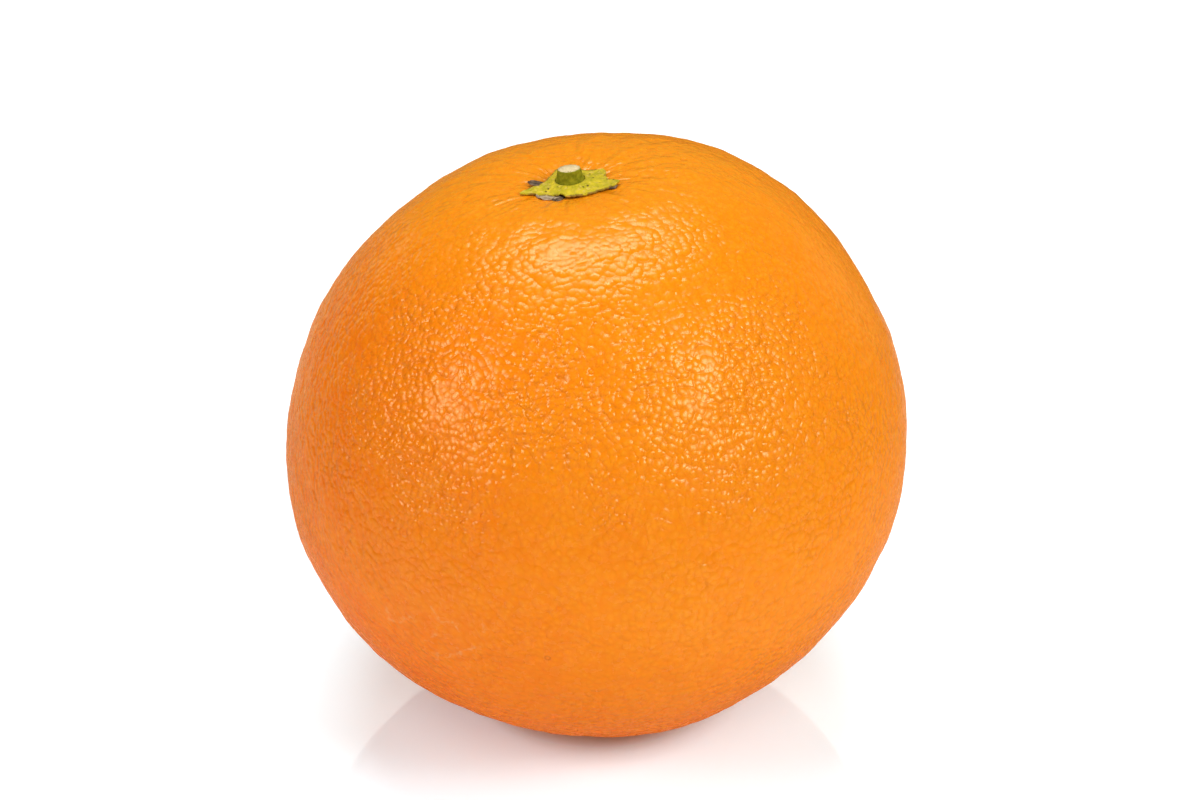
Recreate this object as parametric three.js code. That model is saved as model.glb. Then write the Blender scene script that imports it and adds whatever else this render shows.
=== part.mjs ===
import * as THREE from 'three';

// A whole orange with its green calyx and the short cut stub of its stem.
// Millimetres, +Z up. The origin lies on the small flat spot that the fruit rests on,
// straight below the heart, which is the point that all peel radii are measured from.
// Bearings run anticlockwise seen from above, from +X.

// Driving dimensions of the fruit, in mm and degrees
const meanRadius = 39.72;
const poleSquash = -0.75;         // flattens both ends of the stem axis and widens the girth
const shoulderFullness = 0.5;     // lengthens the stem end and blunts the blossom end
const squareness = 0.3;           // fuller halfway between the ends and the girth
const shoulderSlant = 0.2;        // one shoulder a little higher than the other
const girthOval = 0.53;           // the girth is slightly oval
const girthOvalBearing = 52;
const hollowDepth = 3.35;         // the wide dent round the stem
const hollowSpread = 24.4;
const pitDepth = 1.8;             // the small pit under the calyx
const pitSpread = 8.5;
const leanDegrees = 5.5;          // the stem axis leans towards -X
const heartHeight = 38.2;         // from the flat spot up to the heart

// Creases that run down into the stem hollow
const furrowBearings = [8, 31, 62, 97, 128, 163, 196, 219, 251, 287, 316, 341];
const furrowDepth = 0.2;
const furrowHalfWidth = 6;
const furrowMiddle = 15;          // angle from the stem axis where a crease is deepest
const furrowSpread = 7;

// Broad places where the fruit stands full (+) or is pressed flat (-), in mm
const broadPlaces = [
  { toward: [0.89, 0.22, 0.4], rise: -0.35, spread: 12 },
  { toward: [0.67, 0.36, 0.65], rise: 0.25, spread: 12 },
  { toward: [0.38, 0.45, 0.81], rise: 0.4, spread: 14 },
  { toward: [-0.64, 0.37, 0.67], rise: -0.5, spread: 12 },
  { toward: [-0.97, -0.13, -0.23], rise: 0.35, spread: 14 },
  { toward: [-0.34, -0.46, -0.82], rise: -0.75, spread: 11 },
  { toward: [0.28, -0.47, -0.84], rise: 0.5, spread: 11 },
  { toward: [0.96, -0.14, -0.25], rise: 0.12, spread: 11 },
  { toward: [1, 0.02, 0.03], rise: -0.25, spread: 11 },
  { toward: [0, 0.48, 0.88], rise: -0.15, spread: 11 },
  { toward: [-0.5, 0.85, 0.1], rise: -0.3, spread: 15 },
  { toward: [0.6, 0.74, -0.3], rise: 0.28, spread: 13 },
];

// Small shallow lumps and dents all over the peel
const lumpCount = 170;
const lumpHeight = 0.1;
const lumpSpread = 7;
const lumpSeed = 11;

// Calyx: the star under the stem, with green lobes and dried ones, in mm and degrees
const peelGap = 0.3;              // between the peel and the calyx, and calyx and stem
const calyxEdge = 0.6;            // thickness at the edge
const calyxRise = 0.35;           // extra thickness next to the stem
const calyxRiseSpread = 3;
const collarRadius = 2.35;        // the rim round the stem's foot
const collarHeight = 0.4;
const pleatHeight = 0.09;         // fine ridges that run out along the lobes
const pleatCount = 19;
// Reach from the stem axis at each bearing. The two longest lobes point left and right; the
// dried lobe lies at 226 degrees, a dried scrap at 175.
const calyxOutline = [
  [1, 4.6], [10, 4.5], [18, 4.7], [26, 5], [33, 4.95], [40, 4.5], [46, 4.2], [60, 3.6],
  [76, 3.6], [90, 4], [105, 4.4], [115, 4.4], [124, 3.95], [132, 3.5], [141, 3.3],
  [155, 3.3], [164, 4.3], [175, 5.3], [183, 4.9], [190, 5.2], [199, 6.2], [203, 6.85],
  [208, 6.2], [214, 5.4], [226, 5.5], [238, 5.2], [248, 4.8], [254, 3.6], [262, 3.6],
  [270, 3.75], [280, 3.9], [290, 4.1], [300, 4.35], [306, 4.5], [312, 4.6], [318, 4.6],
  [324, 5.4], [332, 6.2], [345, 6.4], [349, 5.7], [354, 4.9],
];
// Lobe tips that curl up from the peel
const tipLifts = [
  { bearing: 30, halfWidth: 30, lift: 0.1 },
  { bearing: 108, halfWidth: 28, lift: 0.1 },
  { bearing: 175, halfWidth: 10, lift: 0.3 },
  { bearing: 203, halfWidth: 14, lift: 0.1 },
  { bearing: 285, halfWidth: 27, lift: 0.1 },
  { bearing: 340, halfWidth: 27, lift: 0.3 },
];

// Stem: the cut stub that stands in the collar
const stemFootRadius = 1.75;
const stemTopRadius = 1.47;
const stemHeight = 1.72;
const stemRidgeCount = 9;
const stemRidgeHeight = 0.05;
const cutTilt = 6;                // the cut face falls away towards +Y
const cutDome = 0.12;             // its middle stands a little proud

// How finely the surfaces are divided
const fruitSegments = 90;
const fruitBands = [
  { to: 30, rings: 13 },          // the stem hollow
  { to: 165, rings: 29 },
  { to: 180, rings: 6 },          // round the flat spot
];
const calyxSegments = 96;
const stemSegments = 36;

const radians = THREE.MathUtils.degToRad;
const lean = radians(leanDegrees);
const upward = new THREE.Vector3(0, 0, 1);
const leanAxis = new THREE.Vector3(0, 1, 0);

function bell(distance, spread) {
  return Math.exp(-((distance / spread) ** 2));
}

function turnBetween(a, b) {
  return Math.abs(THREE.MathUtils.euclideanModulo(a - b + 180, 360) - 180);
}

function seededRandom(seed) {
  let state = seed;
  return () => {
    state = (state * 1664525 + 1013904223) % 4294967296;
    return state / 4294967296;
  };
}

function polarDirection(angle, bearing) {
  return new THREE.Vector3(
    Math.sin(angle) * Math.cos(bearing),
    Math.sin(angle) * Math.sin(bearing),
    Math.cos(angle),
  );
}

// The lumps are spread evenly at random over the whole fruit.
function scatteredLumps() {
  const random = seededRandom(lumpSeed);
  return Array.from({ length: lumpCount }, () => ({
    direction: polarDirection(Math.acos(1 - 2 * random()), 2 * Math.PI * random()),
    rise: lumpHeight * (2 * random() - 1),
    spread: radians(lumpSpread),
  }));
}

// Broad places are given as the fruit rests, and are turned here into the stem's own frame.
function turnedBroadPlaces() {
  return broadPlaces.map(({ toward, rise, spread }) => ({
    direction: new THREE.Vector3(...toward).normalize().applyAxisAngle(leanAxis, lean),
    rise,
    spread: radians(spread),
  }));
}

const unevenPlaces = [...turnedBroadPlaces(), ...scatteredLumps()];

function furrow(angle, bearing) {
  const nearest = Math.min(
    ...furrowBearings.map((at) => turnBetween(THREE.MathUtils.radToDeg(bearing), at)),
  );
  const alongCrease = bell(THREE.MathUtils.radToDeg(angle) - furrowMiddle, furrowSpread);
  return furrowDepth * alongCrease * bell(nearest, furrowHalfWidth);
}

// Peel radius along a unit direction from the heart, in the stem's own frame.
function peelRadius(direction) {
  const c = THREE.MathUtils.clamp(direction.z, -1, 1);
  const acrossAxis = 1 - c * c;
  const angle = Math.acos(c);
  const bearing = Math.atan2(direction.y, direction.x);
  const even = meanRadius
    + poleSquash * (3 * c ** 2 - 1) / 2
    + shoulderFullness * (5 * c ** 3 - 3 * c) / 2
    + squareness * (35 * c ** 4 - 30 * c ** 2 + 3) / 8
    + girthOval * acrossAxis * Math.cos(2 * (bearing - radians(girthOvalBearing)))
    + shoulderSlant * acrossAxis * c * Math.cos(bearing)
    - hollowDepth * bell(angle, radians(hollowSpread))
    - pitDepth * bell(angle, radians(pitSpread));
  const uneven = unevenPlaces.reduce(
    (sum, place) => sum + place.rise * bell(direction.angleTo(place.direction), place.spread),
    0,
  );
  return even + uneven - furrow(angle, bearing);
}

// A closed skin from a point on top, through rings of points, to a point below.
function closedSkin(top, rings, bottom) {
  const points = [top, ...rings.flat(), bottom];
  const segments = rings[0].length;
  const at = (ring, segment) => 1 + ring * segments + (segment % segments);
  const triangles = [];
  for (let j = 0; j < segments; j += 1) {
    triangles.push(0, at(0, j), at(0, j + 1));
    for (let i = 0; i + 1 < rings.length; i += 1) {
      triangles.push(at(i, j), at(i + 1, j), at(i + 1, j + 1));
      triangles.push(at(i, j), at(i + 1, j + 1), at(i, j + 1));
    }
    triangles.push(at(rings.length - 1, j), points.length - 1, at(rings.length - 1, j + 1));
  }
  const geometry = new THREE.BufferGeometry().setFromPoints(points);
  geometry.setIndex(triangles);
  geometry.computeVertexNormals();
  return geometry;
}

function bearings(segments) {
  return Array.from({ length: segments }, (_, j) => (2 * Math.PI * j) / segments);
}

// Angles from the top to the bottom of the fruit, closer together in the hollow and at the foot.
function fruitRingAngles() {
  const angles = [];
  let from = 0;
  for (const { to, rings } of fruitBands) {
    for (let i = 1; i <= rings; i += 1) angles.push(radians(from + ((to - from) * i) / rings));
    from = to;
  }
  return angles.slice(0, -1);
}

// A point on the peel as the fruit rests, heart at zero. Directions that meet the flat spot
// before the peel stop there.
function restingPoint(direction) {
  const own = direction.clone().applyAxisAngle(leanAxis, lean);
  const toFlat = direction.z < 0 ? heartHeight / -direction.z : Infinity;
  return direction.clone().multiplyScalar(Math.min(peelRadius(own), toFlat));
}

// The rings are square to the stem axis at the top and turn level towards the flat spot.
function fruitGeometry() {
  const ringPoint = (angle, bearing) => restingPoint(
    polarDirection(angle, bearing).applyAxisAngle(leanAxis, -lean * (1 - angle / Math.PI)),
  );
  const rings = fruitRingAngles().map(
    (angle) => bearings(fruitSegments).map((bearing) => ringPoint(angle, bearing)),
  );
  return closedSkin(ringPoint(0, 0), rings, ringPoint(Math.PI, 0));
}

function makeFruit() {
  const peel = new THREE.MeshStandardMaterial({ color: 0xf88c22, roughness: 0.45, metalness: 0 });
  const fruit = new THREE.Mesh(fruitGeometry(), peel);
  fruit.name = 'fruit';
  return fruit;
}

// Height of the peel over the heart, beside the stem axis at this distance from it.
function peelHeight(distance, bearing) {
  let angle = distance / meanRadius;
  let radius = meanRadius;
  for (let pass = 0; pass < 4; pass += 1) {
    radius = peelRadius(polarDirection(angle, bearing));
    angle = Math.asin(distance / radius);
  }
  return radius * Math.cos(angle);
}

// Reach at any bearing, blended softly between the two listed ones beside it.
function calyxReach(bearing) {
  const at = THREE.MathUtils.euclideanModulo(THREE.MathUtils.radToDeg(bearing), 360);
  const last = calyxOutline.length - 1;
  const after = calyxOutline.findIndex(([listed]) => listed >= at);
  const [end, far] = after < 0 ? [calyxOutline[0][0] + 360, calyxOutline[0][1]] : calyxOutline[after];
  const [start, near] = after > 0 ? calyxOutline[after - 1] : calyxOutline[last];
  const from = start > end ? start - 360 : start;
  return THREE.MathUtils.lerp(near, far, THREE.MathUtils.smoothstep(at, from, end));
}

function tipLift(bearing, outward) {
  const lifts = tipLifts.map((tip) => {
    const off = turnBetween(THREE.MathUtils.radToDeg(bearing), tip.bearing);
    return tip.lift * (1 - THREE.MathUtils.smoothstep(off, 0, tip.halfWidth));
  });
  return Math.max(...lifts) * outward ** 2;
}

function calyxPoint(distance, bearing, height) {
  return new THREE.Vector3(
    distance * Math.cos(bearing),
    distance * Math.sin(bearing),
    peelHeight(distance, bearing) + height,
  );
}

// outward runs from 0 at the collar to 1 at the edge of the lobes.
function lobePoint(outward, bearing, onTop) {
  const distance = THREE.MathUtils.lerp(collarRadius, calyxReach(bearing), outward);
  const under = peelGap + tipLift(bearing, outward);
  const pleat = pleatHeight * Math.sin(Math.PI * outward) * Math.cos(pleatCount * bearing);
  const thickness = calyxEdge
    + (calyxRise + pleat) * bell(distance - collarRadius, calyxRiseSpread) * (1 - outward ** 2)
    + collarHeight * bell(outward, 0.25);
  return calyxPoint(distance, bearing, onTop ? under + thickness : under);
}

const socketRadius = stemFootRadius + peelGap;
const socketFloor = peelHeight(0, 0) + peelGap + calyxEdge + calyxRise / 2;

function calyxGeometry() {
  const turn = bearings(calyxSegments);
  const floorPoint = (distance) => (bearing) => new THREE.Vector3(
    distance * Math.cos(bearing),
    distance * Math.sin(bearing),
    socketFloor,
  );
  const rings = [
    turn.map(floorPoint(socketRadius / 2)),
    turn.map(floorPoint(socketRadius)),
    ...[0, 0.25, 0.5, 0.75, 0.92, 1].map((t) => turn.map((b) => lobePoint(t, b, true))),
    ...[1, 0.7, 0.35, 0].map((t) => turn.map((b) => lobePoint(t, b, false))),
    turn.map((b) => calyxPoint(collarRadius / 2, b, peelGap)),
  ];
  return closedSkin(
    new THREE.Vector3(0, 0, socketFloor),
    rings,
    calyxPoint(0, 0, peelGap),
  );
}

function makeCalyx() {
  const green = new THREE.MeshStandardMaterial({ color: 0xb9b937, roughness: 0.7, metalness: 0 });
  const calyx = new THREE.Mesh(calyxGeometry(), green);
  calyx.name = 'calyx';
  return calyx;
}

// up runs from 0 at the foot to 1 at the cut, across from 0 on the axis to 1 at the bark.
function stemPoint(up, across, bearing) {
  const ridge = stemRidgeHeight * Math.cos(stemRidgeCount * bearing) * (1 - up);
  const bark = THREE.MathUtils.lerp(stemFootRadius, stemTopRadius, up ** 0.7) + ridge;
  const x = across * bark * Math.cos(bearing);
  const y = across * bark * Math.sin(bearing);
  const cut = stemHeight - y * Math.tan(radians(cutTilt)) + cutDome * (1 - across ** 2);
  return new THREE.Vector3(x, y, socketFloor + peelGap + up * cut);
}

function stemGeometry() {
  const turn = bearings(stemSegments);
  const ring = (up, across) => turn.map((bearing) => stemPoint(up, across, bearing));
  const rings = [
    ring(1, 0.5), ring(1, 0.9), ring(0.96, 1),
    ring(0.65, 1), ring(0.35, 1), ring(0.08, 1),
    ring(0, 0.92), ring(0, 0.5),
  ];
  return closedSkin(stemPoint(1, 0, 0), rings, stemPoint(0, 0, 0));
}

function makeStem() {
  const bark = new THREE.MeshStandardMaterial({ color: 0x86a42c, roughness: 0.6, metalness: 0 });
  const stem = new THREE.Mesh(stemGeometry(), bark);
  stem.name = 'stem';
  return stem;
}

// The calyx and the stem lean with the stem axis, which passes through the heart.
function makeOrange() {
  const orange = new THREE.Group();
  const heart = new THREE.Group();
  heart.position.copy(upward).multiplyScalar(heartHeight);
  const stemEnd = new THREE.Group();
  stemEnd.quaternion.setFromAxisAngle(leanAxis, -lean);
  stemEnd.add(makeCalyx(), makeStem());
  heart.add(makeFruit(), stemEnd);
  orange.add(heart);
  return orange;
}

export default makeOrange();
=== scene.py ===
# %% [markdown]
# # A whole orange
# An orange is one soft solid with three things to look at: the pebbled peel, the small green
# calyx that is left round the stem, and the cut stub of the stem itself. This lesson dresses
# a plain solid of the fruit, piece by piece, until it looks fresh from the tree.

# %% Load the fixed frame
import math

import bmesh
import bpy
from mathutils import Matrix, Vector, noise
from mathutils.bvhtree import BVHTree


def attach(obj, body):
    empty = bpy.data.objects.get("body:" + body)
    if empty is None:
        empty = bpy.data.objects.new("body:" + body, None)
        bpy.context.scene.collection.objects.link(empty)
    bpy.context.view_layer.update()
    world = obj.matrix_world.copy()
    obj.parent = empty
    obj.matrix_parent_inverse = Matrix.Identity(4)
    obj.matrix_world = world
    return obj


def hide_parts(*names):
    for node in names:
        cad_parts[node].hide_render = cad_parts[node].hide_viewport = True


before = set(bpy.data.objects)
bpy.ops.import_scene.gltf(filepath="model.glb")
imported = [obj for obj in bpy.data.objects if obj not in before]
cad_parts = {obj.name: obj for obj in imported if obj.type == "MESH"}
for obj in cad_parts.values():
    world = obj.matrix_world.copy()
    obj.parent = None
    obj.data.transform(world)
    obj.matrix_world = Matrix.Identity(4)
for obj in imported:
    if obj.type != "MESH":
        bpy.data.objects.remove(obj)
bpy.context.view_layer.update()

# %% [markdown]
# ## Where things are
# The fruit leans a little, so its stem axis isn't upright. The peel is measured from the heart
# of the fruit, and the calyx and stem are made upright about their own axis and then tipped
# with one matrix. That way each of them can be thought of as a plain round thing.

# %% The heart, the stem axis and a few small helpers
mm = 0.001
lean = math.radians(5.5)
heart = Vector((0, 0, 38.2 * mm))
stem_place = Matrix.Translation(heart) @ Matrix.Rotation(-lean, 4, "Y")
to_stem_frame = stem_place.inverted()
stem_axis = (stem_place.to_3x3() @ Vector((0, 0, 1))).normalized()


def bell(distance, spread):
    return math.exp(-((distance / spread) ** 2))


def smooth_step(low, high, value):
    share = min(max((value - low) / (high - low), 0), 1)
    return share * share * (3 - 2 * share)


def toward(bearing, rise):
    """The direction at a bearing round the fruit, so many degrees above level."""
    turn, up = math.radians(bearing), math.radians(rise)
    return Vector((math.cos(up) * math.cos(turn), math.cos(up) * math.sin(turn), math.sin(up)))


def finish_piece(name, mesh, material):
    """Turns a bmesh into a smooth-shaded object at the origin that rides on the fruit."""
    data = bpy.data.meshes.new(name)
    mesh.to_mesh(data)
    mesh.free()
    data.materials.append(material)
    data.shade_smooth()
    piece = bpy.data.objects.new(name, data)
    bpy.context.scene.collection.objects.link(piece)
    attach(piece, "root")
    print(name, "has", len(data.polygons), "faces")
    return piece


print("stem axis", [round(part, 3) for part in stem_axis])

# %% [markdown]
# ## The peel's shape
# A ball made of poles and rings would crowd its faces at the poles, and pits and bumps would
# stretch there. A cube that is divided into small squares and blown up to a ball has faces of
# nearly one size everywhere. Each of its corners is then pushed out from the heart until it
# meets the solid fruit, and the steps left by the solid's facets are smoothed away.

# %% An even ball of squares
squares_per_side = 127


def even_ball():
    ball = bmesh.new()
    bmesh.ops.create_cube(ball, size=2)
    bmesh.ops.subdivide_edges(
        ball, edges=ball.edges[:], cuts=squares_per_side - 1, use_grid_fill=True
    )
    for corner in ball.verts:
        corner.co = Vector([math.tan(part * math.pi / 4) for part in corner.co]).normalized()
    return ball


peel_mesh = even_ball()
print("ball corners", len(peel_mesh.verts))

# %% Fit the ball to the solid fruit
smoothing_rounds = 30


def solid_skin(node):
    """A search tree of the solid's surface, from a merged copy of its mesh."""
    copy = bmesh.new()
    copy.from_mesh(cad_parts[node].data)
    bmesh.ops.remove_doubles(copy, verts=copy.verts, dist=mm / 1000)
    tree = BVHTree.FromBMesh(copy)
    copy.free()
    return tree


fruit_skin = solid_skin("fruit")
for corner in peel_mesh.verts:
    corner.co = fruit_skin.ray_cast(heart, corner.co)[0]
for _ in range(smoothing_rounds):
    bmesh.ops.smooth_vert(
        peel_mesh, verts=peel_mesh.verts, factor=0.5,
        use_axis_x=True, use_axis_y=True, use_axis_z=True,
    )
print("lowest point", round(min(corner.co.z for corner in peel_mesh.verts) / mm, 3), "mm")

# %% [markdown]
# ## Pebbles and lumps
# Oil glands under the skin push it up into pebbles of 2 to 3 mm, on top of a slower swell.
# These are real shape, so they show along the outline too. The single glands are finer than
# the mesh and are left to the material. At the foot the peel is pressed flat, and opposite
# the stem a small scar is left where the blossom sat.

# %% Raise the pebbles
swell_pitch, swell_height = 6.5 * mm, 0.06 * mm
lump_pitch, lump_height = 3.4 * mm, 0.13 * mm
pebble_pitch, pebble_height, pebble_cap = 2.3 * mm, 0.1 * mm, 0.5
lump_shift = Vector((7, 3, 5))
peel_swelling = 0.06 * mm
scar_place = stem_place @ Vector((0, 0, -38.4 * mm))
scar_radius, scar_depth = 1.3 * mm, 0.4 * mm
flat_below, free_above = 0.1 * mm, 1.5 * mm


def peel_relief(place):
    swell = noise.noise(place / swell_pitch)
    lump = noise.noise(place / lump_pitch + lump_shift)
    nearest, second = noise.voronoi(place / pebble_pitch)[0][:2]
    pebble = min(second - nearest, pebble_cap)
    return peel_swelling + swell_height * swell + lump_height * lump + pebble_height * pebble


def raise_pebbles(mesh):
    mesh.normal_update()
    raised = []
    for corner in mesh.verts:
        free = smooth_step(flat_below, free_above, corner.co.z)
        scar = scar_depth * bell((corner.co - scar_place).length, scar_radius)
        raised.append(corner.co + corner.normal * (peel_relief(corner.co) * free - scar))
    for corner, place in zip(mesh.verts, raised):
        corner.co = place
        corner.co.z = max(corner.co.z, 0)


raise_pebbles(peel_mesh)
peel_skin = BVHTree.FromBMesh(peel_mesh)


def on_peel(bearing, rise):
    """The place on the peel in this direction from the heart."""
    return peel_skin.ray_cast(heart, toward(bearing, rise))[0]


print("peel height", round(max(corner.co.z for corner in peel_mesh.verts) / mm, 2), "mm")

# %% [markdown]
# ## Making materials with nodes
# Each material is a small network of nodes, and a few helpers keep it short to write. One adds
# a node with its values and links. Others do one sum, measure between two places, stretch a
# range of values to another one, or blend two colours. The last one feeds the finished colour
# and height to the surface.

# %% Node helpers
def add(tree, kind, inputs=None, **settings):
    """Adds a node. An input may be a value or another node's output."""
    made = tree.nodes.new("ShaderNode" + kind)
    for key, value in settings.items():
        setattr(made, key, value)
    for key, value in (inputs or {}).items():
        if isinstance(value, bpy.types.NodeSocket):
            tree.links.new(value, made.inputs[key])
        else:
            made.inputs[key].default_value = value
    return made


def maths(tree, how, first, second=0.0):
    return add(tree, "Math", {0: first, 1: second}, operation=how).outputs[0]


def times(tree, *values):
    product = values[0]
    for value in values[1:]:
        product = maths(tree, "MULTIPLY", product, value)
    return product


def vectors(tree, how, first, second=(0, 0, 0)):
    """A vector that is worked out from two others."""
    return add(tree, "VectorMath", {0: first, 1: second}, operation=how).outputs["Vector"]


def measure(tree, how, first, second=(0, 0, 0)):
    """A number that is worked out from two vectors, such as the distance between them."""
    return add(tree, "VectorMath", {0: first, 1: second}, operation=how).outputs["Value"]


def scaled(tree, vector, scale):
    return add(tree, "VectorMath", {0: vector, "Scale": scale}, operation="SCALE").outputs[0]


def stretch(tree, value, low, high, to_low=0.0, to_high=1.0):
    """Maps low..high to to_low..to_high, with soft ends."""
    made = add(
        tree, "MapRange",
        {"Value": value, "From Min": low, "From Max": high, "To Min": to_low, "To Max": to_high},
        interpolation_type="SMOOTHSTEP",
    )
    return made.outputs["Result"]


def blend_colours(tree, share, first, second):
    factor, a, b, result = 0, 6, 7, 2
    return add(tree, "Mix", {factor: share, a: first, b: second}, data_type="RGBA").outputs[result]


def new_material(name):
    material = bpy.data.materials.new(name)
    material.use_nodes = True
    tree = material.node_tree
    surface = tree.nodes["Principled BSDF"]
    place = add(tree, "TexCoord").outputs["Object"]
    return material, tree, surface, place


def dress(tree, surface, colour, height, lift, constants):
    """Feeds colour and height to the surface, and sets its plain values."""
    bump = add(tree, "Bump", {"Height": height, "Distance": lift, "Strength": 1.0})
    tree.links.new(colour, surface.inputs["Base Color"])
    tree.links.new(bump.outputs[0], surface.inputs["Normal"])
    for key, value in constants.items():
        surface.inputs[key].default_value = value


print("helpers ready")

# %% [markdown]
# ## Two patterns that every finish shares
# Peel, calyx and stem are all mottled, and all have a fine grain that catches the light. Both
# patterns are node groups: built once, and given their own size and strength in each material.

# %% Mottling and grain
def new_group(name, inputs, output):
    """An empty group with a Place, the named numbers as inputs, and one number as output."""
    group = bpy.data.node_groups.new(name, "ShaderNodeTree")
    group.interface.new_socket("Place", in_out="INPUT", socket_type="NodeSocketVector")
    for label in inputs:
        group.interface.new_socket(label, in_out="INPUT", socket_type="NodeSocketFloat")
    group.interface.new_socket(output, in_out="OUTPUT", socket_type="NodeSocketFloat")
    given = group.nodes.new("NodeGroupInput").outputs
    result = group.nodes.new("NodeGroupOutput").inputs[output]
    where = scaled(group, given["Place"], maths(group, "DIVIDE", 1.0, given["Size"]))
    return group, given, where, result


def make_mottle():
    group, given, where, result = new_group("Mottle", ("Size", "Contrast"), "Share")
    patches = add(group, "TexNoise", {"Vector": where, "Scale": 1.0, "Detail": 3.0}).outputs[0]
    spread = times(group, maths(group, "SUBTRACT", patches, 0.5), given["Contrast"])
    share = maths(group, "ADD", spread, 0.5)
    share.node.use_clamp = True
    group.links.new(share, result)
    return group


def make_grain():
    group, given, where, result = new_group("Grain", ("Size", "Detail"), "Height")
    height = add(group, "TexNoise", {"Vector": where, "Scale": 1.0, "Detail": given["Detail"]})
    group.links.new(height.outputs[0], result)
    return group


mottle_group, grain_group = make_mottle(), make_grain()


def mottle(tree, place, size, contrast):
    values = {"Place": place, "Size": size, "Contrast": contrast}
    return add(tree, "Group", values, node_tree=mottle_group).outputs["Share"]


def grain(tree, place, size, detail):
    values = {"Place": place, "Size": size, "Detail": detail}
    return add(tree, "Group", values, node_tree=grain_group).outputs["Height"]


print("shared groups:", [group.name for group in bpy.data.node_groups])

# %% [markdown]
# ## Glands and pores
# Every oil gland is a shiny dome a little under a millimetre across. Modelling tens of
# thousands of them would need millions of faces, so they are a height for the light alone:
# the distance to the nearest of many scattered points, squared, sinks softly away from each
# point and leaves a dome there. Some spots of the skin have a tiny sunken ring, a pore.

# %% Peel: domes and pores
gland_pitch, gland_drop, gland_softness = 0.84 * mm, 0.34, 0.25
bend_pitch, bend = 3.5 * mm, 0.9 * mm
pore_pitch, pore_depth = 2.9 * mm, 0.04
pore_inside, pore_outside = (0.06, 0.12), (0.12, 0.19)
# Patches are given by the size and the contrast of their mottling.
pore_patches, pore_patch_edge = (5 * mm, 3.0), (0.4, 0.8)


def cells(tree, place, pitch, softness=None):
    """Distance to the nearest of many scattered points, in shares of their pitch."""
    inputs, feature = {"Vector": place, "Scale": 1 / pitch}, "F1"
    if softness:
        inputs["Smoothness"], feature = softness, "SMOOTH_F1"
    return add(tree, "TexVoronoi", inputs, feature=feature).outputs["Distance"]


def gland_distance(tree, place):
    """Distance to the nearest gland. The pattern is bent a little, so that rows don't show."""
    wander = add(tree, "TexNoise", {"Vector": place, "Scale": 1 / bend_pitch, "Detail": 1.0})
    bent = vectors(tree, "ADD", place, scaled(tree, wander.outputs["Color"], bend))
    return cells(tree, bent, gland_pitch, gland_softness)


def pore_rings(tree, place):
    """Thin rings round scattered points, in some places only."""
    away = cells(tree, place, pore_pitch)
    inner = stretch(tree, away, *pore_inside)
    outer = stretch(tree, away, *pore_outside, 1.0, 0.0)
    chosen = stretch(tree, mottle(tree, place, *pore_patches), *pore_patch_edge)
    return times(tree, inner, outer, chosen)


print("glands every", round(gland_pitch / mm, 2), "mm, pores every", round(pore_pitch / mm, 1))

# %% [markdown]
# ## Where the peel is smooth
# The domes aren't equally strong everywhere. They come and go in patches, and the skin is
# tighter and smoother round the stem, on one shoulder, on the cheek beside it and near the
# foot. Each of these is a factor between nothing and one. Close to the stem, fine ridges run
# outwards instead: noise that changes quickly round the stem but slowly away from it.

# %% Peel: strength of the domes, ridges at the stem, and the height
stem_hollow = stem_place @ Vector((0, 0, 34.5 * mm))
smooth_shoulder = on_peel(4, 44)
smooth_cheek = toward(11.5, 0)
dome_patches, weakest_domes, strongest_domes = (9 * mm, 3.0), 0.5, 1.1
# Where each smooth place begins and ends, and how much of the domes is left in it.
hollow_edge, left_in_hollow = (10 * mm, 34 * mm), 0.35
foot_edge, left_at_foot = (44 * mm, 62 * mm), 0.6
shoulder_edge, left_on_shoulder = (8 * mm, 22 * mm), 0.35
cheek_edge, left_on_cheek = (26 * mm, 36 * mm), 0.55
peel_grain, peel_grain_height = (0.4 * mm, 2.0), 0.012
ridge_height, ridges_round, ridge_length = 0.5, 6.5, 5 * mm
ridge_fade = (8 * mm, 24 * mm)


def dome_strength(tree, place):
    from_stem = measure(tree, "DISTANCE", place, stem_hollow)
    from_shoulder = measure(tree, "DISTANCE", place, smooth_shoulder)
    along_cheek = measure(tree, "DOT_PRODUCT", place, smooth_cheek)
    patchy = mottle(tree, place, *dome_patches)
    return times(
        tree,
        stretch(tree, patchy, 0.0, 1.0, weakest_domes, strongest_domes),
        stretch(tree, from_stem, *hollow_edge, left_in_hollow, 1.0),
        stretch(tree, from_stem, *foot_edge, 1.0, left_at_foot),
        stretch(tree, from_shoulder, *shoulder_edge, left_on_shoulder, 1.0),
        stretch(tree, along_cheek, *cheek_edge, 1.0, left_on_cheek),
    )


def stem_ridges(tree, place):
    """Fine ridges that run away from the stem and fade out."""
    beside = vectors(tree, "SUBTRACT", place, stem_hollow)
    flat = vectors(tree, "MULTIPLY", beside, (1, 1, 0))
    around = scaled(tree, vectors(tree, "NORMALIZE", flat), ridges_round)
    outward = maths(tree, "DIVIDE", measure(tree, "LENGTH", flat), ridge_length)
    where = vectors(tree, "ADD", around, add(tree, "CombineXYZ", {"Z": outward}).outputs[0])
    ridges = add(tree, "TexNoise", {"Vector": where, "Scale": 1.0, "Detail": 1.0}).outputs[0]
    from_stem = measure(tree, "DISTANCE", place, stem_hollow)
    return times(tree, ridges, stretch(tree, from_stem, *ridge_fade, ridge_height, 0.0))


def peel_height(tree, place, gland_away, pores):
    """Height of the skin in mm."""
    fine = times(tree, grain(tree, place, *peel_grain), peel_grain_height)
    raised = maths(tree, "ADD", fine, stem_ridges(tree, place))
    dips = times(tree, gland_away, gland_away, gland_drop, dome_strength(tree, place))
    sunk = maths(tree, "ADD", dips, times(tree, pores, pore_depth))
    return maths(tree, "SUBTRACT", raised, sunk)


print("smooth shoulder at", [round(part / mm, 1) for part in smooth_shoulder], "mm")

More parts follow.
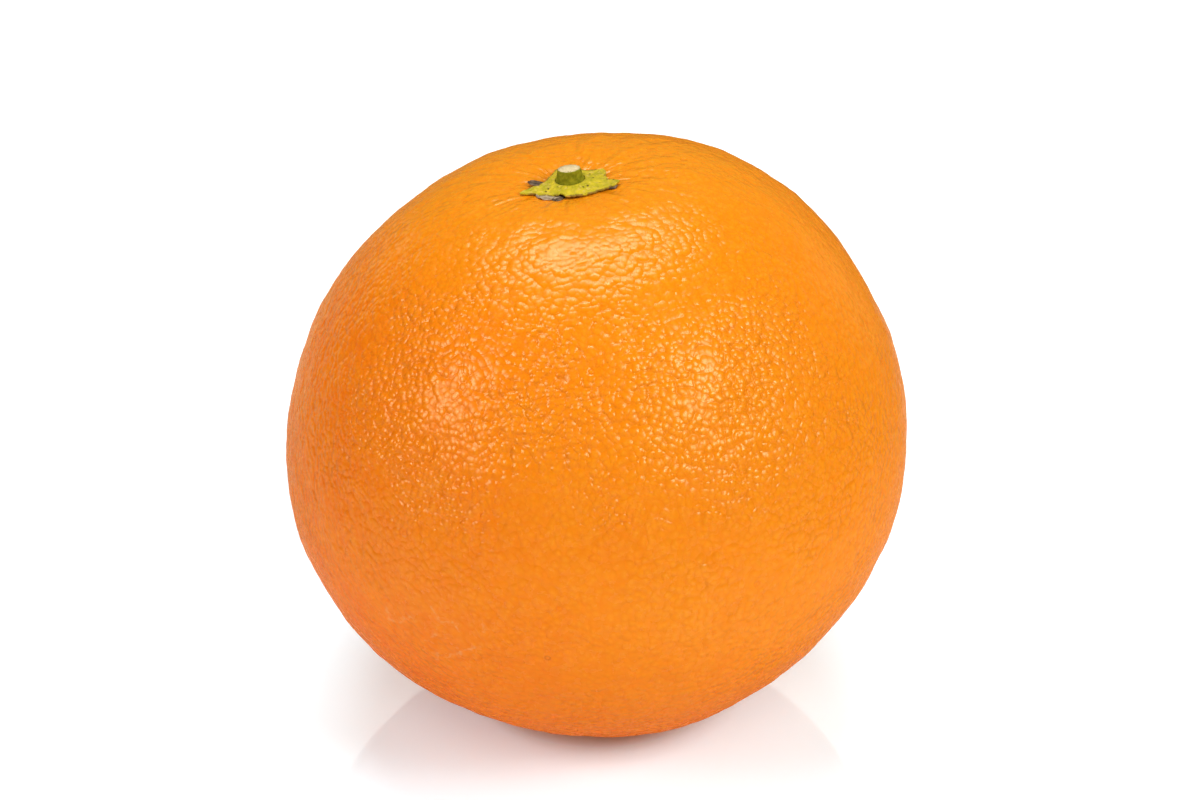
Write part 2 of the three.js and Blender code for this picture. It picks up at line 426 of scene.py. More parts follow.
# %% [markdown]
# ## Scratches
# Twigs and handling leave a few pale scratches. Painting them on would need a picture, but a
# scratch is only a crooked line: a place belongs to it when it lies close to the line, and
# that is one distance in the material. A little noise bends the lines and breaks them up.

# %% Peel: scratches
# Bearing and rise of the points that each scratch runs through. The last two are at the back.
scratches = [
    [(229, -11), (229, -14), (231, -14)], [(231.5, -14), (235, -11), (236, -12)],
    [(240, -7.5), (241, -9.5)], [(241.5, -10), (244, -9.5), (245, -11)],
    [(237, -16), (240, -13.5)], [(238.5, -20.5), (239.5, -18)],
    [(241, -19), (245, -16), (247.5, -14)], [(244, -15), (244.5, -17)],
    [(249.5, -7.5), (249.5, -10)],
    [(54, 22), (51, 19)], [(104, -20.5), (107, -19.5)],
]
scratch_core, scratch_edge = 0.05 * mm, 0.26 * mm
crook_pitch, crook = 1.2 * mm, 1.2 * mm
broken_patches, broken_edge = (0.7 * mm, 3.0), (0.1, 0.6)


def line_share(tree, place, start, end):
    """One close to the line from start to end, and nothing further away."""
    line = end - start
    beside = vectors(tree, "SUBTRACT", place, start)
    along = measure(tree, "DOT_PRODUCT", beside, line / line.length_squared)
    inside = add(tree, "Clamp", {"Value": along}).outputs[0]
    away = measure(tree, "DISTANCE", beside, scaled(tree, line, inside))
    return stretch(tree, away, scratch_core, scratch_edge, 1.0, 0.0)


def scratch_marks(tree, place):
    wander = add(tree, "TexNoise", {"Vector": place, "Scale": 1 / crook_pitch, "Detail": 2.0})
    offset = vectors(tree, "SUBTRACT", wander.outputs["Color"], (0.5, 0.5, 0.5))
    bent = vectors(tree, "ADD", place, scaled(tree, offset, crook))
    marks = 0.0
    for scratch in scratches:
        points = [on_peel(*point) for point in scratch]
        for start, end in zip(points, points[1:]):
            marks = maths(tree, "MAXIMUM", marks, line_share(tree, bent, start, end))
    kept = stretch(tree, mottle(tree, place, *broken_patches), *broken_edge)
    return times(tree, marks, kept)


print(len(scratches), "scratches")

# %% [markdown]
# ## The peel's colour and gloss
# Peel is deep orange where it was shaded, brighter where the sun reached it and more golden
# round the stem, with patches and small specks of both. Gland tops are painted paler than the
# dips between them: partly the glands' own translucent colour and partly painted glints, while
# the darker dips are painted shade. Wax makes it glossy, and its highlights look golden rather
# than white, because light from the skin just under the wax comes back with them, so the gloss
# has a tint. A clear coat on top would mirror the lamps as one flat patch over the domes, so
# there is none. A little light passes through the skin, which the subsurface share gives.

# %% Peel: the material
deep_orange = (0.85, 0.14, 0.001, 1)
bright_orange = (0.88, 0.205, 0.003, 1)
golden_orange = (0.90, 0.265, 0.004, 1)
stem_gold = (0.87, 0.30, 0.004, 1)
gland_tone_and_glint = (0.97, 0.36, 0.03, 1)
scratch_pale = (1.0, 0.56, 0.26, 1)
pore_brown = (0.5, 0.07, 0.003, 1)
scar_brown = (0.16, 0.08, 0.03, 1)
sunny_side = toward(336, 22)
sun_reach = 38 * mm
deep_to_bright, bright_to_golden = (0.1, 0.65), (0.65, 1.2)
stem_gold_edge, stem_gold_share = (12 * mm, 33 * mm), 0.8
ripe_patches, ripe_patch_share = (11 * mm, 1.6), 0.35
gold_specks, gold_speck_share = (2.0 * mm, 2.6), 0.35
# Painted shade in the dips between glands, and paler tone with painted glint on their tops.
dip_shade_edge, dip_shade_share, top_glint_edge, top_glint_share = (0.3, 0.6), 0.2, (0.05, 0.35), 0.25
scratch_share, pore_shade_share = 0.32, 0.3
brown_pore, brown_share = on_peel(261, -14.5), 0.45
brown_inside, brown_outside = (0.1 * mm, 0.3 * mm), (0.32 * mm, 0.55 * mm)
scar_edge = (0.6 * mm, 1.5 * mm)
gloss_patches, smoothest, roughest = (1.6 * mm, 2.0), 0.18, 0.32
peel_gloss = {
    "Subsurface Weight": 0.12, "Subsurface Radius": (1.0, 0.35, 0.08),
    "Subsurface Scale": 1.5 * mm,
    "Specular IOR Level": 0.5, "Specular Tint": (0.8, 0.9, 0.57, 1),
}


def ripeness(tree, place):
    """Colour of the skin before its glands and marks: from deep to golden orange."""
    from_heart = vectors(tree, "SUBTRACT", place, heart)
    along_sun = measure(tree, "DOT_PRODUCT", from_heart, sunny_side)
    sun = stretch(tree, along_sun, -sun_reach, sun_reach)
    patches = times(tree, mottle(tree, place, *ripe_patches), ripe_patch_share)
    tone = maths(tree, "ADD", sun, patches)
    colour = blend_colours(tree, stretch(tree, tone, *deep_to_bright), deep_orange, bright_orange)
    colour = blend_colours(tree, stretch(tree, tone, *bright_to_golden), colour, golden_orange)
    from_stem = measure(tree, "DISTANCE", place, stem_hollow)
    near_stem = stretch(tree, from_stem, *stem_gold_edge, stem_gold_share, 0.0)
    return blend_colours(tree, near_stem, colour, stem_gold)


def peel_marks(tree, place, colour):
    """Scratches, one browned pore and the scar of the blossom."""
    scratched = times(tree, scratch_marks(tree, place), scratch_share)
    colour = blend_colours(tree, scratched, colour, scratch_pale)
    from_pore = measure(tree, "DISTANCE", place, brown_pore)
    inner = stretch(tree, from_pore, *brown_inside)
    outer = stretch(tree, from_pore, *brown_outside, brown_share, 0.0)
    colour = blend_colours(tree, times(tree, inner, outer), colour, pore_brown)
    from_scar = measure(tree, "DISTANCE", place, scar_place)
    scarred = stretch(tree, from_scar, *scar_edge, 1.0, 0.0)
    return blend_colours(tree, scarred, colour, scar_brown)


def make_peel():
    material, tree, surface, place = new_material("Orange peel")
    away, pores = gland_distance(tree, place), pore_rings(tree, place)
    colour = ripeness(tree, place)
    # Painted shade darkens the dips; gland tops are paler, partly their own colour and partly
    # painted glint.
    dips = stretch(tree, away, *dip_shade_edge, 0.0, dip_shade_share)
    glinting_tops = stretch(tree, away, *top_glint_edge, top_glint_share, 0.0)
    colour = blend_colours(tree, dips, colour, deep_orange)
    colour = blend_colours(tree, glinting_tops, colour, gland_tone_and_glint)
    specks = times(tree, mottle(tree, place, *gold_specks), gold_speck_share)
    colour = blend_colours(tree, specks, colour, golden_orange)
    # The sunken pore rings are painted darker: painted shade in their grooves.
    colour = blend_colours(tree, times(tree, pores, pore_shade_share), colour, deep_orange)
    colour = peel_marks(tree, place, colour)
    patchy = mottle(tree, place, *gloss_patches)
    roughness = stretch(tree, patchy, 0.0, 1.0, smoothest, roughest)
    tree.links.new(roughness, surface.inputs["Roughness"])
    dress(tree, surface, colour, peel_height(tree, place, away, pores), mm, peel_gloss)
    return material


peel = finish_piece("peel", peel_mesh, make_peel())
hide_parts("fruit")

# %% [markdown]
# ## The calyx
# The calyx is a thin, leathery star that hugs the stem and reaches out in uneven lobes. It
# could be cut from a flat disc, but the disc would have to be bent to the hollow afterwards.
# So it starts as a ring round the stem that is extruded outwards ring by ring. Each ring
# follows the outline of the lobes and the peel below, and the sheet gets its thickness last.

# %% The outline of the star
collar_radius = 1.9 * mm
raggedness, broad_rags, fine_rags = 0.1, 6, 17
# Bearing in degrees and reach in mm: a pointed lobe to the left and one to the right, broad
# ones behind and in front, and a waist where a lobe has withered.
star_outline = [
    (1, 4.6), (10, 4.5), (18, 4.7), (26, 5.0), (33, 4.95), (40, 4.5), (46, 4.2), (60, 3.6),
    (76, 3.6), (90, 4.0), (105, 4.4), (115, 4.4), (124, 3.95), (132, 3.5), (141, 3.3),
    (155, 3.2), (168, 3.3), (178, 3.8), (187, 4.8), (194, 5.4), (199, 6.2), (203, 6.85),
    (208, 6.2), (214, 5.1), (225, 4.1), (240, 3.6), (248, 3.3), (254, 3.3), (262, 3.6),
    (270, 3.75), (280, 3.9), (290, 4.1), (300, 4.35), (306, 4.5), (312, 4.6), (318, 4.6),
    (324, 5.2), (330, 5.65), (338, 6.2), (345, 6.4), (349, 5.7), (354, 4.9),
]


def turn_between(a, b):
    return abs((a - b + 180) % 360 - 180)


def outline_reach(bearing):
    """The outline's reach at any bearing, blended softly between the listed ones."""
    bearing = bearing % 360
    closed = [(star_outline[-1][0] - 360, star_outline[-1][1]), *star_outline]
    closed.append((star_outline[0][0] + 360, star_outline[0][1]))
    for (start, near), (end, far) in zip(closed, closed[1:]):
        if start <= bearing <= end:
            return near + (far - near) * smooth_step(start, end, bearing)


def star_reach(bearing):
    """How far the star reaches at this bearing, with a slightly ragged edge."""
    around = toward(bearing, 0)
    ragged = noise.noise(around * broad_rags) + noise.noise(around * fine_rags)
    return (outline_reach(bearing) + raggedness * ragged) * mm


print("widest reach", round(max(star_reach(b) for b in range(360)) / mm, 2), "mm")

# %% Heights over the peel
# Bearing, half width and height in mm by which the tips stand off the peel.
tip_lifts = [(30, 30, 0.1), (108, 28, 0.1), (203, 27, 0.1), (285, 27, 0.1), (340, 27, 0.3)]
sheet_gap, collar_height, collar_spread = 0.3 * mm, 1.5 * mm, 1.5 * mm
pleat_count, pleat_height, pucker_height = 19, 0.07, 0.05


def peel_below(x, y):
    """Height of the peel in the stem's frame, under a point beside the stem axis."""
    start = stem_place @ Vector((x, y, 60 * mm))
    found = peel_skin.ray_cast(start, -stem_axis)[0]
    return (to_stem_frame @ found).z


collar_level = peel_below(0, 0) + collar_height


def star_level(bearing, outward, distance):
    """Height of the sheet: a cone at the collar that settles onto the peel further out."""
    turn = math.radians(bearing)
    x, y = distance * math.cos(turn), distance * math.sin(turn)
    lift = mm * max(
        height * (1 - smooth_step(0, half_width, turn_between(bearing, middle)))
        for middle, half_width, height in tip_lifts
    )
    lying = peel_below(x, y) + sheet_gap + lift * outward ** 2
    pucker = pucker_height * noise.noise(Vector((9 * turn, 4 * outward, 0)))
    pleats = pleat_height * math.cos(pleat_count * turn) + pucker
    pleated = pleats * mm * math.sin(math.pi * outward)
    cone = bell(distance - collar_radius, collar_spread)
    return max(lying, lying + (collar_level - lying) * cone) + pleated


print("collar stands at", round(collar_level / mm, 2), "mm from the heart")

# %% Grow a sheet ring by ring
def grow_sheet(bearings, closed, rings, place_corner):
    """A sheet that starts as a line of corners and is extruded ring by ring."""
    mesh = bmesh.new()
    if closed:
        bmesh.ops.create_circle(mesh, segments=len(bearings), radius=1)
        line = mesh.verts[:]
    else:
        line = [mesh.verts.new((0, 0, 0)) for _ in bearings]
        for first, second in zip(line, line[1:]):
            mesh.edges.new((first, second))
    edges = mesh.edges[:]
    for corner, bearing in zip(line, bearings):
        corner.co = place_corner(bearing, rings[0])
    for ring in rings[1:]:
        grown = bmesh.ops.extrude_edge_only(mesh, edges=edges)["geom"]
        new = [part for part in grown if isinstance(part, bmesh.types.BMVert)]
        edges = [
            part for part in grown
            if isinstance(part, bmesh.types.BMEdge) and all(end in new for end in part.verts)
        ]
        for corner, bearing in zip(new, bearings):
            corner.co = place_corner(bearing, ring)
    return mesh


def give_thickness(mesh, thickness):
    bmesh.ops.recalc_face_normals(mesh, faces=mesh.faces)
    upward = sum(face.normal.z for face in mesh.faces)
    if upward < 0:
        bmesh.ops.reverse_faces(mesh, faces=mesh.faces)
    bmesh.ops.solidify(mesh, geom=mesh.faces[:], thickness=thickness)
    bmesh.ops.recalc_face_normals(mesh, faces=mesh.faces)


star_steps = 240
star_rings = [0, 0.06, 0.14, 0.24, 0.36, 0.5, 0.64, 0.76, 0.86, 0.93, 0.98, 1]
star_thickness = 0.25 * mm


def star_corner(bearing, outward):
    distance = collar_radius + (star_reach(bearing) - collar_radius) * outward
    turn = math.radians(bearing)
    level = star_level(bearing, outward, distance)
    return Vector((distance * math.cos(turn), distance * math.sin(turn), level))


star_bearings = [360 * step / star_steps for step in range(star_steps)]
star_mesh = grow_sheet(star_bearings, True, star_rings, star_corner)
give_thickness(star_mesh, star_thickness)
print("star corners", len(star_mesh.verts))

# %% [markdown]
# ## The calyx's finish
# The calyx is yellow-green and dull, with dark specks, straw crumbs and a rim that has begun
# to brown. Each corner stores how near it is to the edge, so the material can find the rim.

# %% Mark the edge
rim_width = 0.9 * mm


def mark_edge(mesh):
    """Stores how near each corner is to the star's edge, for the browned rim."""
    layer = mesh.verts.layers.float.new("edge")
    for corner in mesh.verts:
        bearing = math.degrees(math.atan2(corner.co.y, corner.co.x))
        inward = star_reach(bearing) - math.hypot(corner.co.x, corner.co.y)
        corner[layer] = 1 - smooth_step(0, rim_width, inward)


mark_edge(star_mesh)
bmesh.ops.transform(star_mesh, matrix=stem_place, verts=star_mesh.verts)
print("rim marked", round(rim_width / mm, 1), "mm wide")

# %% Calyx: the material
leaf_green = (0.42, 0.36, 0.012, 1)
yellow_green = (0.70, 0.53, 0.022, 1)
straw = (0.74, 0.52, 0.12, 1)
speck_brown = (0.09, 0.045, 0.01, 1)
rim_brown = (0.2, 0.1, 0.02, 1)
green_patches = (1.3 * mm, 3.0)
crumb_patches, crumb_edge, crumb_share = (0.5 * mm, 3.0), (0.55, 1.0), 0.6
dot_pitch, dot_edge = 0.8 * mm, (0.12, 0.24)
dot_patches, dot_patch_edge = (1.9 * mm, 3.0), (0.45, 0.65)
withered_patches, withered_edge = (1.2 * mm, 4.0), (0.35, 0.75)
brown_rim, brown_rim_share = (0.7, 1.0), 0.8
calyx_grain, calyx_lift = (0.4 * mm, 3.0), 0.25 * mm
calyx_gloss = {
    "Roughness": 0.65, "Specular IOR Level": 0.3, "Specular Tint": (1.0, 0.95, 0.4, 1)
}


def make_calyx_green():
    material, tree, surface, place = new_material("Calyx green")
    colour = blend_colours(tree, mottle(tree, place, *green_patches), leaf_green, yellow_green)
    crumbs = stretch(tree, mottle(tree, place, *crumb_patches), *crumb_edge, 0.0, crumb_share)
    colour = blend_colours(tree, crumbs, colour, straw)
    dots = stretch(tree, cells(tree, place, dot_pitch), *dot_edge, 1.0, 0.0)
    chosen = stretch(tree, mottle(tree, place, *dot_patches), *dot_patch_edge)
    colour = blend_colours(tree, times(tree, dots, chosen), colour, speck_brown)
    edge = add(tree, "Attribute", attribute_name="edge").outputs["Fac"]
    withered = stretch(tree, mottle(tree, place, *withered_patches), *withered_edge)
    browned = times(tree, stretch(tree, edge, *brown_rim, 0.0, brown_rim_share), withered)
    colour = blend_colours(tree, browned, colour, rim_brown)
    dress(tree, surface, colour, grain(tree, place, *calyx_grain), calyx_lift, calyx_gloss)
    return material


calyx = finish_piece("calyx_star", star_mesh, make_calyx_green())
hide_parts("calyx")

# %% [markdown]
# ## The dried lobes, and painted shadow at the calyx's edge
# One lobe has died back to grey paper, and a dark scrap is left of another at the back of the
# left lobe. Two more dark sheets are painted shadow: one in the gap beside the grey lobe, and
# one under the lifted right tip, which is partly a dark scrap too. They are all thin sheets
# grown the same way as the star, each over its own few degrees of bearing, so they lie on the
# peel as it does.

# %% The dried scraps
paper_grey = (0.58, 0.47, 0.31, 1)
paper_brown = (0.24, 0.15, 0.08, 1)
# The dark paper also stands for painted shadow under the calyx's edge.
paper_dark_and_shade = (0.03, 0.017, 0.008, 1)
paper_thickness, paper_gap = 0.16 * mm, 0.25
tip_narrowing, tip_rounding, paper_raggedness = 0.55, 0.12, 0.35
wave_height, crease_height = 0.12, 0.1
paper_patches, paper_grain, paper_lift = (0.7 * mm, 3.0), (0.5 * mm, 4.0), 0.25 * mm
paper_gloss = {"Roughness": 0.75}
across = [-1, -0.8, -0.6, -0.4, -0.2, 0, 0.2, 0.4, 0.6, 0.8, 1]
paper_rings = [0, 0.2, 0.4, 0.6, 0.8, 0.95, 1]


def make_dry_paper(name, dark, light):
    material, tree, surface, place = new_material(name)
    colour = blend_colours(tree, mottle(tree, place, *paper_patches), dark, light)
    dress(tree, surface, colour, grain(tree, place, *paper_grain), paper_lift, paper_gloss)
    return material


dry_paper = make_dry_paper("Dried calyx", paper_brown, paper_grey)
# Its dark sheets are partly dried scraps and partly painted shadow.
dark_paper_and_shade = make_dry_paper("Dark dried calyx and painted shade", paper_dark_and_shade, paper_brown)


def dried_lobe(name, middle, half_width, start, reach, lift, curl, paper):
    """A papery lobe or a sheet of painted shadow about a middle bearing, from start to reach, in
    mm.
    """

    def corner(side, outward):
        turn = math.radians(middle + side * half_width * (1 - tip_narrowing * outward ** 2))
        ragged = paper_raggedness * noise.noise(Vector((side * 2.5, 3, middle)))
        rounded = (reach - start) * (1 - tip_rounding * side * side)
        distance = start + (rounded + ragged) * outward
        x, y = distance * mm * math.cos(turn), distance * mm * math.sin(turn)
        crease = crease_height * noise.noise(Vector((side * 3, outward * 3, 1)))
        wave = wave_height * math.sin(5 * side + 1) + crease
        above = paper_gap + (lift + curl * side + wave) * outward
        return Vector((x, y, peel_below(x, y) + above * mm))

    sheet = grow_sheet(across, False, paper_rings, corner)
    give_thickness(sheet, paper_thickness)
    bmesh.ops.transform(sheet, matrix=stem_place, verts=sheet.verts)
    piece = finish_piece(name, sheet, paper)
    return piece


dried_lobe("dried_lobe", 226, 22, 2.8, 5.5, 0.0, 0.05, dry_paper)
# Painted shadow: a dark sheet in the gap beside the grey lobe.
dried_lobe("painted_shadow_notch", 247, 9, 2.8, 4.9, -0.1, 0.0, dark_paper_and_shade)
dried_lobe("dried_scrap", 175, 11, 2.8, 5.3, 0.3, 0.1, dark_paper_and_shade)
# Partly a dark scrap and partly painted shadow under the lifted right tip.
dried_lobe("dried_tip_and_shadow", 336, 9, 4.0, 6.4, 0.0, 0.0, dark_paper_and_shade)

# %% [markdown]
# ## The stem
# The stub was cut with shears, so it has a pale, slightly domed face with a thin rim of bark,
# and green bark with fine ridges that fan out where it meets the calyx. It is a tube of
# extruded rings, closed by insetting its top face.

# %% The stem's shape
stem_steps = 72
stem_foot_radius, stem_top_radius = 1.78 * mm, 1.45 * mm
stem_height, stem_sunk = 1.45 * mm, 0.35 * mm
foot_flare, cut_round = 0.22 * mm, 0.06 * mm
ridge_count, bark_ridge = 13, 0.035 * mm
bark_bulge, bulge_scale = 0.07 * mm, 2.6
taper_power, flare_power = 0.8, 3
cut_tilt = math.radians(6)
bark_rings = [0, 0.08, 0.18, 0.32, 0.48, 0.64, 0.8, 0.92, 1]
# How far each ring of the cut face is inset, and how much higher it lies, in mm.
cut_rings = [(0.1, -0.03), (0.3, 0.06), (0.4, 0.05), (0.35, 0.02)]


def bark_corner(bearing, up):
    around = toward(bearing, 0)
    ridge = bark_ridge * math.cos(ridge_count * math.radians(bearing))
    bulge = bark_bulge * noise.noise(around * bulge_scale)
    radius = stem_foot_radius + (stem_top_radius - stem_foot_radius) * up ** taper_power
    radius += foot_flare * (1 - up) ** flare_power + ridge + bulge
    if up == 1:
        radius -= cut_round
    x, y = radius * around.x, radius * around.y
    top = stem_height - y * math.tan(cut_tilt)
    return Vector((x, y, collar_level - stem_sunk + up * (top + stem_sunk)))


def make_stem_mesh():
    bearings = [360 * step / stem_steps for step in range(stem_steps)]
    stem = grow_sheet(bearings, True, bark_rings, bark_corner)
    rims = [edge for edge in stem.edges if edge.is_boundary]
    bmesh.ops.holes_fill(stem, edges=rims, sides=stem_steps)
    bmesh.ops.recalc_face_normals(stem, faces=stem.faces)
    cut = max(stem.faces, key=lambda face: face.calc_center_median().z)
    for width, rise in cut_rings:
        bmesh.ops.inset_individual(stem, faces=[cut], thickness=width * mm, depth=rise * mm)
    bmesh.ops.transform(stem, matrix=stem_place, verts=stem.verts)
    return stem


stem_mesh = make_stem_mesh()
print("stem corners", len(stem_mesh.verts))

# %% [markdown]
# ## The stem's finish
# One material does bark and cut, because they are one piece of wood. Where the surface faces
# along the stem it is the cut, and everywhere else it is bark, with painted shade darkening its
# foot.

# %% Stem: the material
bark_green = (0.15, 0.155, 0.002, 1)
bark_light = (0.34, 0.31, 0.012, 1)
bark_shade = (0.07, 0.09, 0.001, 1)
cut_cream = (0.86, 0.71, 0.42, 1)
cut_tan = (0.64, 0.48, 0.24, 1)
cut_level = stem_place @ Vector((0, 0, collar_level + stem_height))
bark_patches, cut_patches = (0.8 * mm, 2.5), (0.5 * mm, 2.2)
shade_edge, shade_share = (-2.1 * mm, -1.0 * mm), 0.55
cut_edge = (0.75, 0.9)
bark_grain, bark_lift = (0.35 * mm, 3.0), 0.2 * mm
stem_gloss = {
    "Roughness": 0.6, "Specular IOR Level": 0.15, "Specular Tint": (1.0, 0.95, 0.5, 1)
}


def make_bark():
    material, tree, surface, place = new_material("Stem bark and cut")
    colour = blend_colours(tree, mottle(tree, place, *bark_patches), bark_green, bark_light)
    up = measure(tree, "DOT_PRODUCT", vectors(tree, "SUBTRACT", place, cut_level), stem_axis)
    # Painted shade: the bark is darker towards its foot, where it meets the calyx.
    foot = stretch(tree, up, *shade_edge, shade_share, 0.0)
    colour = blend_colours(tree, foot, colour, bark_shade)
    facing = measure(tree, "DOT_PRODUCT", add(tree, "NewGeometry").outputs["Normal"], stem_axis)
    wood = blend_colours(tree, mottle(tree, place, *cut_patches), cut_tan, cut_cream)
    colour = blend_colours(tree, stretch(tree, facing, *cut_edge), colour, wood)
    dress(tree, surface, colour, grain(tree, place, *bark_grain), bark_lift, stem_gloss)
    return material


stem = finish_piece("stem_stub", stem_mesh, make_bark())
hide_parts("stem")

# %% [markdown]
# ## The table it stands on
# The fruit stands on a white, faintly glossy sheet that catches its soft shadow and a weak
# mirror image. A picture of something bright on white is exposed until the white burns out,
# so what the viewer sees of the table is brighter than what lights the fruit: a painted warm
# ring of contact shadow, then a ring painted cool enough to cancel the orange light that the
# fruit throws on it, then burnt-out white. What the peel mirrors of the table is a third,
# painted tone, warm and darker than white, so the table's reflection puts a warm sheen on the
# peel: near its rims the domes mirror each other as much as the table.

# %% Table
lit_white = (0.9, 0.9, 0.9, 1)
warm_contact_shadow = (0.64, 0.46, 0.29, 1)
shadow_cool = (1.0, 1.25, 1.35, 1)
burnt_white = (1.25, 1.25, 1.25, 1)
mirrored_near, mirrored_far = (0.75, 0.34, 0.18, 1), (0.3, 0.1, 0.02, 1)
mirrored_left = (0.66, 0.64, 0.38, 1)
contact_edge, shadow_edge = (12 * mm, 18 * mm), (50 * mm, 120 * mm)
mirror_fade, left_edge, left_share = (60 * mm, 250 * mm), (-120 * mm, 0.0), 0.7
table_half, table_roughness = 6.0, 0.06


def make_table_material():
    material, tree, surface, place = new_material("White table")
    path = add(tree, "LightPath").outputs
    distance = measure(tree, "LENGTH", place)
    side = add(tree, "SeparateXYZ", {0: place}).outputs["X"]
    # Painted shadow: the table as seen is darker and warm near the contact, and cooled beyond it.
    seen = blend_colours(tree, stretch(tree, distance, *contact_edge), warm_contact_shadow, shadow_cool)
    seen = blend_colours(tree, stretch(tree, distance, *shadow_edge), seen, burnt_white)
    # The table's tone in the peel's gloss is painted: a warm reflection, darker than white.
    far = stretch(tree, distance, *mirror_fade)
    mirrored = blend_colours(tree, far, mirrored_near, mirrored_far)
    left = stretch(tree, side, *left_edge, left_share, 0.0)
    mirrored = blend_colours(tree, left, mirrored, mirrored_left)
    colour = blend_colours(tree, path["Is Camera Ray"], lit_white, seen)
    colour = blend_colours(tree, path["Is Glossy Ray"], colour, mirrored)
    tree.links.new(colour, surface.inputs["Base Color"])
    surface.inputs["Roughness"].default_value = table_roughness
    return material


def make_table():
    mesh = bmesh.new()
    bmesh.ops.create_grid(mesh, x_segments=1, y_segments=1, size=table_half)
    data = bpy.data.meshes.new("floor")
    mesh.to_mesh(data)
    mesh.free()
    data.materials.append(make_table_material())
    floor = bpy.data.objects.new("floor", data)
    bpy.context.scene.collection.objects.link(floor)
    return floor


floor = make_table()
print("table is", 2 * table_half, "m wide")

# %% [markdown]
# ## Soft studio light
# Three soft lamps stand over the fruit and to each side of the viewer. They are small enough
# to sparkle on every gland, where one large lamp would melt the sparkle into a flat patch.
# Two faint, warm lamps behind the fruit draw light lines on the pebbles at its rims.

# %% Lamps for the fruit
lamp_distance = 0.7
warm_light = (1, 0.8, 0.45)


def soft_lamp(name, direction, width, height, radiance, colour=(1, 1, 1)):
    """A rectangular lamp that faces the fruit. Its radiance doesn't depend on its size."""
    data = bpy.data.lights.new(name, "AREA")
    data.shape = "RECTANGLE"
    data.size, data.size_y = width, height
    data.energy = radiance * math.pi * width * height
    data.color = colour
    lamp = bpy.data.objects.new(name, data)
    outward = Vector(direction).normalized()
    lamp.location = heart + outward * lamp_distance
    lamp.rotation_euler = (-outward).to_track_quat("-Z", "Y").to_euler()
    bpy.context.scene.collection.objects.link(lamp)
    return lamp


soft_lamp("over", (-0.05, 0.3, 0.95), 0.5, 0.22, 8.0)
soft_lamp("left", (-0.77, -0.42, 0.5), 0.28, 0.25, 7.8)
soft_lamp("right", (0.63, -0.48, 0.61), 0.3, 0.26, 10.3)
soft_lamp("left_rim", (-0.6, 0.78, 0.1), 0.12, 0.3, 1.4, warm_light)
soft_lamp("right_rim", (0.7, 0.7, 0.1), 0.25, 0.3, 0.35, warm_light)
print("lamps", [lamp.name for lamp in bpy.data.lights])

# %% [markdown]
# ## Light for the table alone
# Two more lamps are linked to the table and don't touch the fruit. The card stands behind it
# and shows only as a gloss on the table, which the mirror image of the fruit interrupts. The
# wash comes from the front and lightens the shadow there, and has no gloss of its own.

# %% Lamps for the table
table_only = bpy.data.collections.new("table only")
table_only.objects.link(floor)
card = soft_lamp("card", (0, 0.87, 0.47), 0.6, 0.35, 1.5)
card.visible_diffuse = False
wash = soft_lamp("wash", (0.0, -0.8, 0.58), 0.34, 0.34, 4.0)
wash.visible_glossy = False
for lamp in (card, wash):
    lamp.light_linking.receiver_collection = table_only
print("table lamps", [lamp.name for lamp in (card, wash)])

# %% [markdown]
# ## The room
# The room fills in from all round, so that no shadow is black: more from the right than from
# the left, little from straight above, where a lamp hangs already, and most from low in
# front. The viewer sees it as plain white. In the peel's gloss it is nearly black, so the
# lamps' sparkle stands out, but for a warm band behind that lights the upper rim.

# %% The room's light
fill_left, fill_right = (0.34, 0.34, 0.34, 1), (0.6, 0.6, 0.6, 1)
fill_above, fill_front = (0.1, 0.1, 0.1, 1), (1.1, 1.1, 1.1, 1)
mirrored_room, mirrored_back = (0.02, 0.015, 0.01, 1), (0.45, 0.33, 0.07, 1)
seen_room = (1, 1, 1, 1)
# Where each zone of the room begins and ends, as parts of a direction of length 1.
front_zone, low_zone, above_zone, back_zone = (-0.95, -0.4), (0.05, 0.5), (0.3, 0.85), (0.6, 0.85)


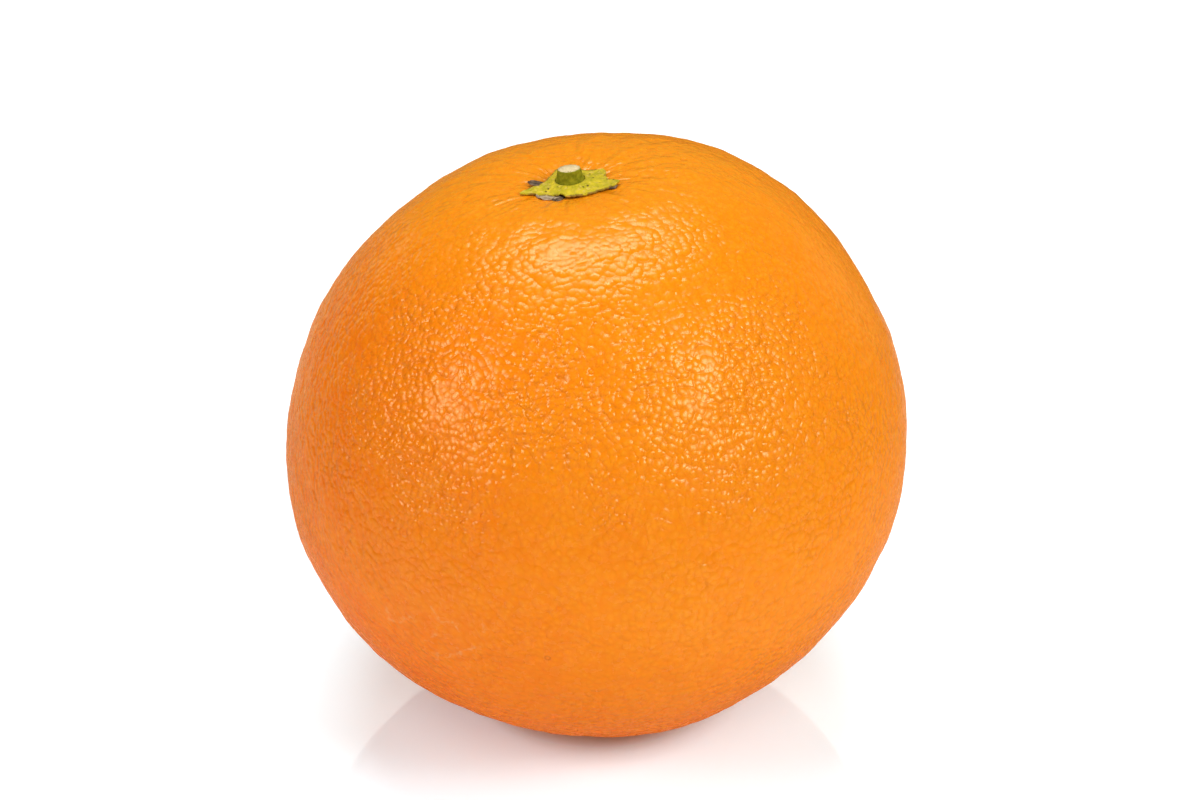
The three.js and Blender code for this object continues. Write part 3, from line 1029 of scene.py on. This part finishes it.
def make_room():
    world = bpy.data.worlds.new("studio")
    bpy.context.scene.world = world
    world.use_nodes = True
    tree = world.node_tree
    path = add(tree, "LightPath").outputs
    outward = add(tree, "SeparateXYZ", {0: add(tree, "TexCoord").outputs["Generated"]}).outputs
    ahead = stretch(tree, outward["Y"], *front_zone, 1.0, 0.0)
    low = stretch(tree, outward["Z"], *low_zone, 1.0, 0.0)
    overhead = stretch(tree, outward["Z"], *above_zone)
    side = stretch(tree, outward["X"], -1.0, 1.0)
    fill = blend_colours(tree, side, fill_left, fill_right)
    fill = blend_colours(tree, overhead, fill, fill_above)
    fill = blend_colours(tree, times(tree, ahead, low), fill, fill_front)
    behind = stretch(tree, outward["Y"], *back_zone)
    mirrored = blend_colours(tree, behind, mirrored_room, mirrored_back)
    colour = blend_colours(tree, path["Is Glossy Ray"], fill, mirrored)
    colour = blend_colours(tree, path["Is Camera Ray"], colour, seen_room)
    tree.links.new(colour, tree.nodes["Background"].inputs["Color"])


make_room()
print("room", bpy.context.scene.world.name)

# %% [markdown]
# ## The camera
# A long lens from half a metre looks down on the fruit at 29 degrees. Its length follows from
# how large a millimetre at the heart should be in the picture.

# %% Camera
camera_distance = 520 * mm
camera_height = math.radians(29)
picture_width, pixels_per_mm, sensor_width = 1200, 7.73, 36
aim_above, aim_right = 4.1 * mm, 0.28 * mm

back = Vector((0, -math.cos(camera_height), math.sin(camera_height)))
picture_up = Vector((0, math.sin(camera_height), math.cos(camera_height)))
camera_data = bpy.data.cameras.new("camera")
camera_data.sensor_width = sensor_width
camera_data.lens = sensor_width * pixels_per_mm * camera_distance / mm / picture_width
camera_data.clip_start = 0.01
camera = bpy.data.objects.new("camera", camera_data)
camera.location = heart + back * camera_distance
aim = heart + picture_up * aim_above + Vector((aim_right, 0, 0))
camera.rotation_euler = (aim - camera.location).to_track_quat("-Z", "Y").to_euler()
bpy.context.scene.collection.objects.link(camera)
bpy.context.scene.camera = camera
bpy.context.scene.view_settings.view_transform = "Standard"
print("lens", round(camera_data.lens, 1), "mm")
